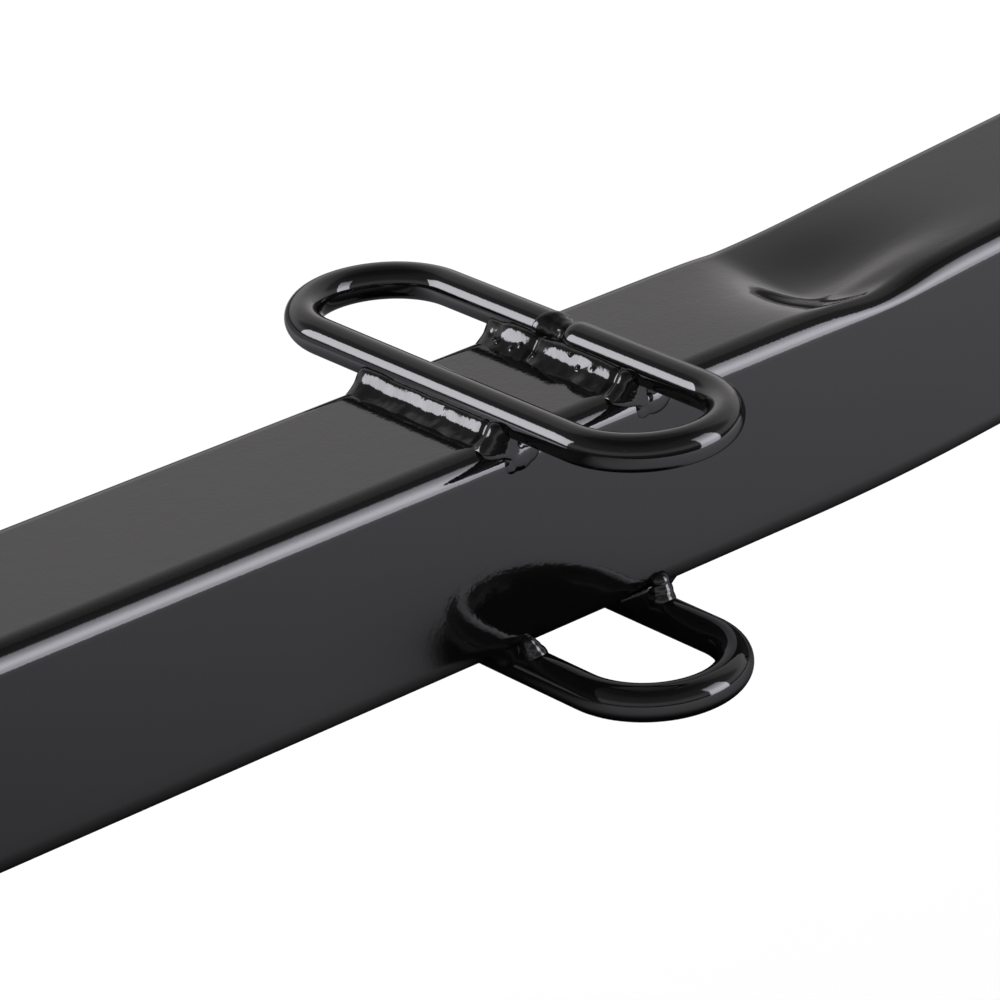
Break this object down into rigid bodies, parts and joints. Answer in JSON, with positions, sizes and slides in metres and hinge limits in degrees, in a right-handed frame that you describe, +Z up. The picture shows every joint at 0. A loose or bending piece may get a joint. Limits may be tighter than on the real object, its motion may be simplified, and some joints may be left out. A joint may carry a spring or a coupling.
{
  "type": "hitch extender",
  "caption": "Square steel hitch extender with a pinned shank, a slight upward bend, a raised receiver socket and chain loops welded across its top and bottom.",
  "frame": {"origin": "centre of the shank's pin hole, on the axis of the main tube", "axes": "+X along the main tube towards the receiver, +Y to the left across the tube, along the pin holes, +Z up"},
  "size_m": [0.7399, 0.1306, 0.1004],
  "materials": {
    "tube": "gloss black paint",
    "rod": "gloss black paint on round bar",
    "weld": "gloss black paint over rough weld"
  },
  "bodies": {
    "root": {"main_tube": "tube", "upper_chain_loop": "rod", "lower_chain_loop": "rod", "upper_butt_weld": "weld", "lower_butt_weld": "weld", "upper_shank_bar_outer_weld": "weld", "upper_shank_bar_inner_weld": "weld", "upper_receiver_bar_inner_weld": "weld", "upper_receiver_bar_outer_weld": "weld", "lower_shank_bar_outer_weld": "weld", "lower_shank_bar_inner_weld": "weld", "lower_receiver_bar_inner_weld": "weld", "lower_receiver_bar_outer_weld": "weld", "receiver_tube": "tube", "receiver_collar": "tube", "receiver_top_weld": "weld", "receiver_bottom_weld": "weld", "receiver_left_weld": "weld", "receiver_right_weld": "weld", "collar_top_weld": "weld", "collar_bottom_weld": "weld", "collar_left_weld": "weld", "collar_right_weld": "weld"}
  },
  "joints": []
}
